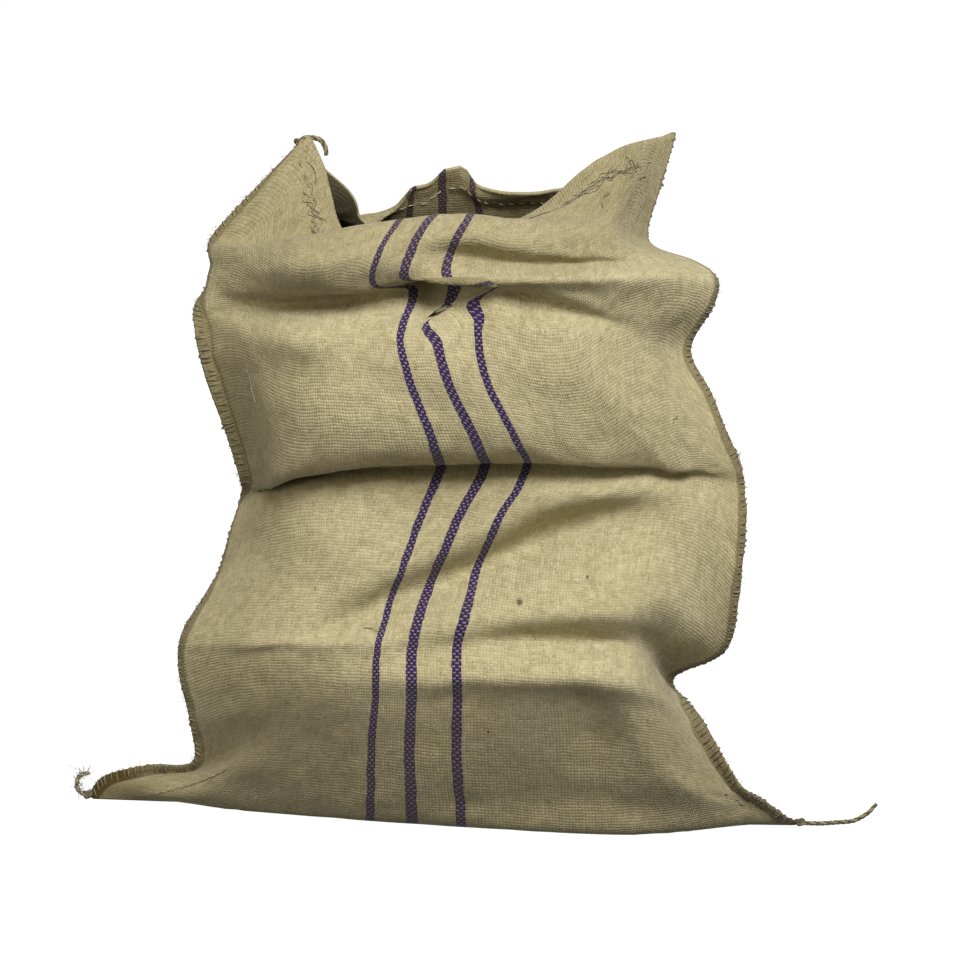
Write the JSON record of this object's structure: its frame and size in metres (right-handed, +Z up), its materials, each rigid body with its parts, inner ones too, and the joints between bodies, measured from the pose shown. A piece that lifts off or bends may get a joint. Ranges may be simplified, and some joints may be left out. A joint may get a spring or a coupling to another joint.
{
  "type": "jute sack",
  "caption": "Empty woven jute sack with coloured warp stripes, standing open and slumped into soft folds, with overcast side seams and loose twine ends.",
  "frame": {"origin": "on the floor under the middle of the standing sack's bounding box, loose twine ends left out", "axes": "+X from the sack's left bottom corner to its right one, +Y from its front to its back, +Z up through the open mouth"},
  "size_m": [0.7052, 0.2472, 0.5988],
  "materials": {
    "jute_cloth": "coarse plain-woven natural jute with purple warp stripes",
    "seam_twine": "loosely twisted jute twine"
  },
  "bodies": {
    "root": {"sack_cloth": "jute_cloth", "twine_tail_right": "seam_twine", "twine_curl_top_left": "seam_twine", "twine_end_left_ear": "seam_twine"}
  },
  "joints": []
}
